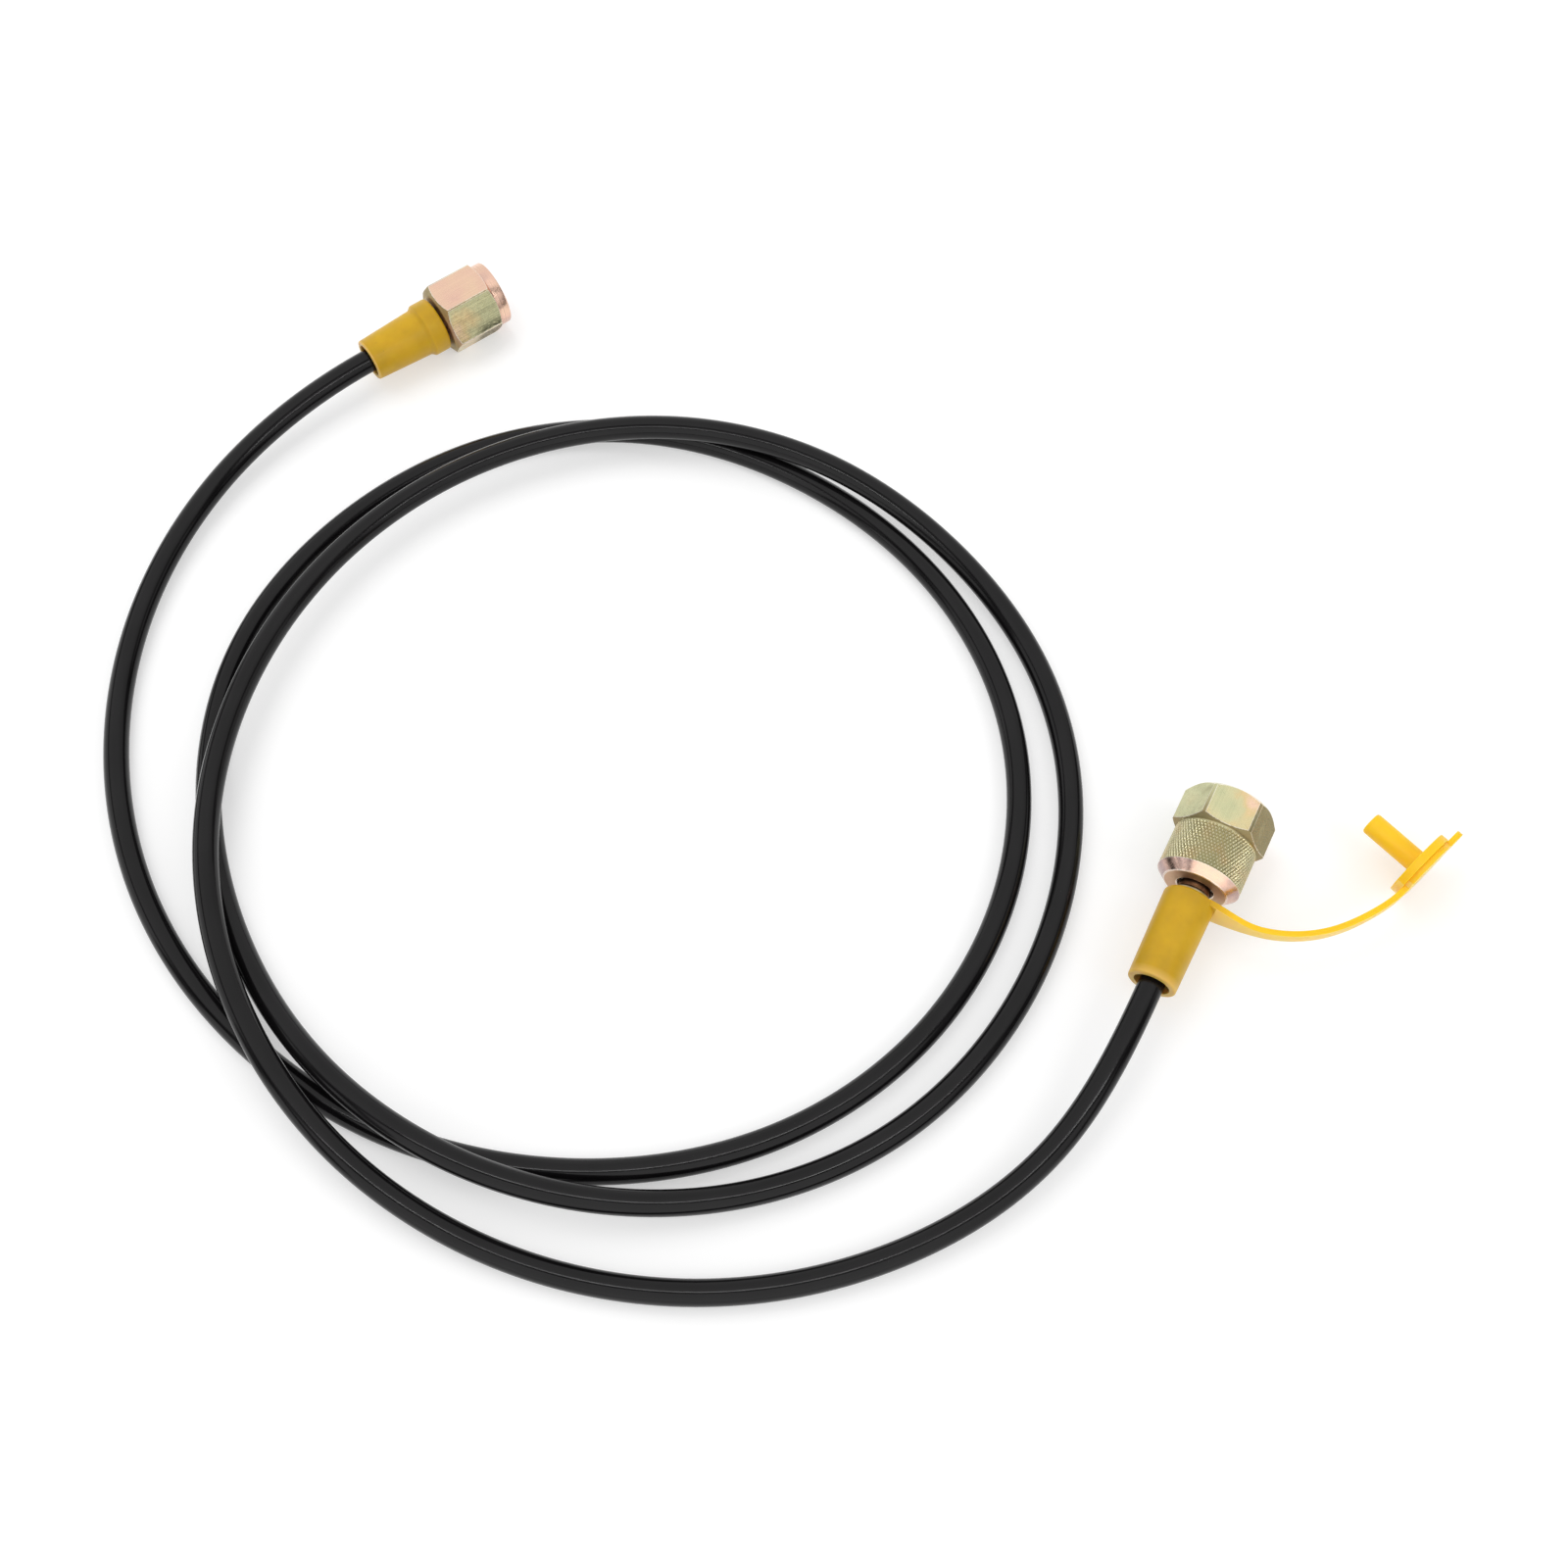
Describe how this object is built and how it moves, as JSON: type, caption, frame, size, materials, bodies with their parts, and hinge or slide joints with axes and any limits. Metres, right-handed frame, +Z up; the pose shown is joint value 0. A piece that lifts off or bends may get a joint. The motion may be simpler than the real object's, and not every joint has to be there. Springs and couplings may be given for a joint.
{
  "type": "hydraulic gauge hose",
  "caption": "Microbore hydraulic test hose in loose turns, with a gauge swivel nut, a knurled test coupling nut, yellow bend sleeves and a strapped dust plug.",
  "frame": {"origin": "bottom centre of the two end fittings' bounding box, on the surface the hose lies on", "axes": "+Z up from the surface; +X along the longer side of the fittings' bounding box, from the gauge end towards the test end; +Y away from the loops' near side"},
  "size_m": [0.3249, 0.2719, 0.02],
  "materials": {
    "hose": "satin black plastic jacket",
    "gauge_stem": "turned, yellow-chromated zinc gone brown",
    "gauge_ferrule": "crimped, yellow-chromated zinc gone brown",
    "gauge_swivel_nut": "drawn bar, yellow-chromated zinc, iridescent",
    "gauge_nut_wire": "drawn spring wire",
    "gauge_seal_ring": "pressed, off-white",
    "gauge_bend_sleeve": "satin yellow moulding",
    "test_stem": "turned, yellow-chromated zinc gone brown",
    "test_ferrule": "crimped, yellow-chromated zinc gone brown",
    "test_coupling_nut": "drawn bar with rolled knurl, yellow-chromated zinc, iridescent",
    "test_nut_wire": "drawn spring wire",
    "test_probe_o_ring": "moulded, matt black",
    "test_bend_sleeve": "satin yellow moulding"
  },
  "bodies": {
    "root": {"hose": "hose", "gauge_stem": "gauge_stem", "gauge_ferrule": "gauge_ferrule", "gauge_seal_ring": "gauge_seal_ring", "gauge_bend_sleeve": "gauge_bend_sleeve", "test_stem": "test_stem", "test_ferrule": "test_ferrule", "test_probe_o_ring": "test_probe_o_ring", "test_bend_sleeve": "test_bend_sleeve"},
    "gauge_wire": {"gauge_nut_wire": "gauge_nut_wire"},
    "gauge_nut": {"gauge_swivel_nut": "gauge_swivel_nut"},
    "test_wire": {"test_nut_wire": "test_nut_wire"},
    "test_nut": {"test_coupling_nut": "test_coupling_nut"}
  },
  "joints": [
    {"name": "gauge_nut_slide", "type": "slide", "parent": "root", "child": "gauge_wire", "axis": [0.807, 0.5906, 0], "range_m": [0, 0.001]},
    {"name": "gauge_nut_spin", "type": "hinge", "parent": "gauge_wire", "child": "gauge_nut", "pos_m": [-0.10866, 0.09001, 0.00875], "axis": [0.807, 0.5906, 0], "continuous": true},
    {"name": "test_nut_slide", "type": "slide", "parent": "root", "child": "test_wire", "axis": [0.4509, 0.8926, 0], "range_m": [-0.001, 0]},
    {"name": "test_nut_spin", "type": "hinge", "parent": "test_wire", "child": "test_nut", "pos_m": [0.07768, -0.06582, 0.01], "axis": [0.4509, 0.8926, 0], "continuous": true}
  ]
}
